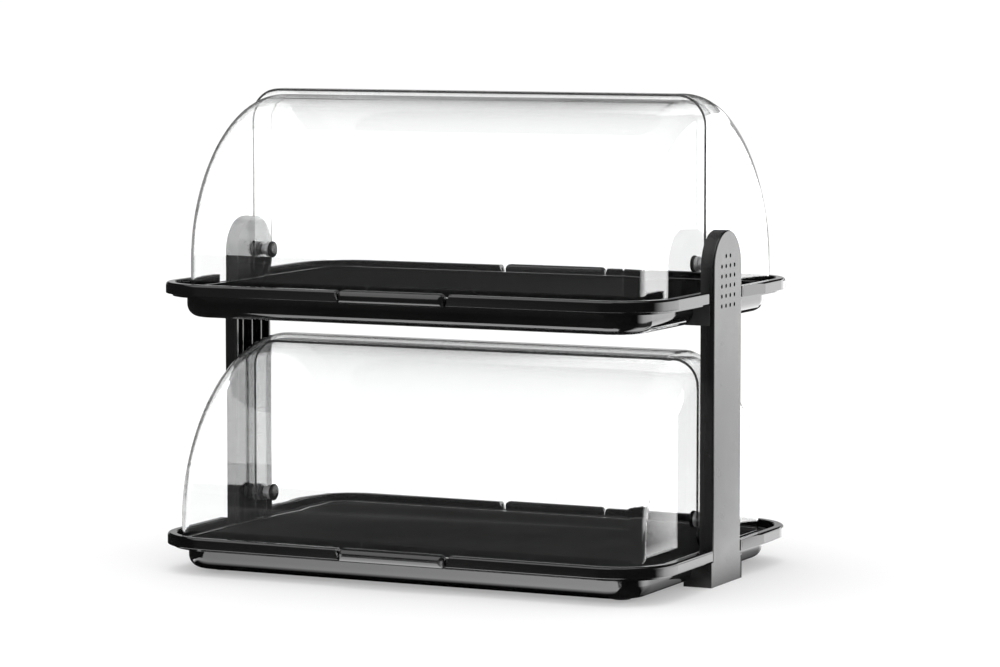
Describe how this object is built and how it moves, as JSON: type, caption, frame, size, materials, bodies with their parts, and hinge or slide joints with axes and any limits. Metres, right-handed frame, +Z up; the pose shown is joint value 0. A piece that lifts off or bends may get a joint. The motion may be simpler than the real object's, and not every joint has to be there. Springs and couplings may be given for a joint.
{
  "type": "countertop bread display case",
  "caption": "Two-tier countertop display case: rounded trays on end uprights, each under a pair of clear half-drum covers that roll open over each other about end pivots.",
  "frame": {"origin": "centre of the footprint on the table top", "axes": "+X across the width to the right, +Y to the rear, +Z up"},
  "size_m": [0.46, 0.328, 0.4004],
  "materials": {
    "tray_black": "gloss",
    "insert_black": "satin gloss",
    "grip_black": "gloss",
    "upright_black": "gloss",
    "cover_clear": "clear acrylic, polished",
    "knob_black": "gloss",
    "spacer_black": "plain",
    "washer_chrome": "polished",
    "pin_steel": "turned",
    "screw_steel": "plain",
    "pad_rubber": "matte"
  },
  "bodies": {
    "frame": {"lower_tray": "tray_black", "upper_tray": "tray_black", "lower_insert": "insert_black", "upper_insert": "insert_black", "lower_front_grip": "grip_black", "lower_rear_grip": "grip_black", "upper_front_grip": "grip_black", "upper_rear_grip": "grip_black", "left_upright": "upright_black", "right_upright": "upright_black", "lower_tray_screws": "screw_steel", "upper_tray_screws": "screw_steel", "lower_left_pivot_pin": "pin_steel", "lower_right_pivot_pin": "pin_steel", "upper_left_pivot_pin": "pin_steel", "upper_right_pivot_pin": "pin_steel", "lower_left_knob": "knob_black", "lower_right_knob": "knob_black", "upper_left_knob": "knob_black", "upper_right_knob": "knob_black", "pivot_bushes": "washer_chrome", "cover_spacers": "spacer_black", "knob_washers": "washer_chrome", "foot_pads": "pad_rubber"},
    "lower_front_cover": {"lower_front_cover": "cover_clear"},
    "lower_rear_cover": {"lower_rear_cover": "cover_clear"},
    "upper_front_cover": {"upper_front_cover": "cover_clear"},
    "upper_rear_cover": {"upper_rear_cover": "cover_clear"}
  },
  "joints": [
    {"name": "lower_front_cover_turn", "type": "hinge", "parent": "frame", "child": "lower_front_cover", "pos_m": [0, 0, 0.051], "axis": [-1, 0, 0], "range_deg": [0, 90]},
    {"name": "lower_rear_cover_turn", "type": "hinge", "parent": "frame", "child": "lower_rear_cover", "pos_m": [0, 0, 0.051], "axis": [1, 0, 0], "range_deg": [0, 90]},
    {"name": "upper_front_cover_turn", "type": "hinge", "parent": "frame", "child": "upper_front_cover", "pos_m": [0, 0, 0.2614], "axis": [-1, 0, 0], "range_deg": [0, 90]},
    {"name": "upper_rear_cover_turn", "type": "hinge", "parent": "frame", "child": "upper_rear_cover", "pos_m": [0, 0, 0.2614], "axis": [1, 0, 0], "range_deg": [0, 90]}
  ]
}
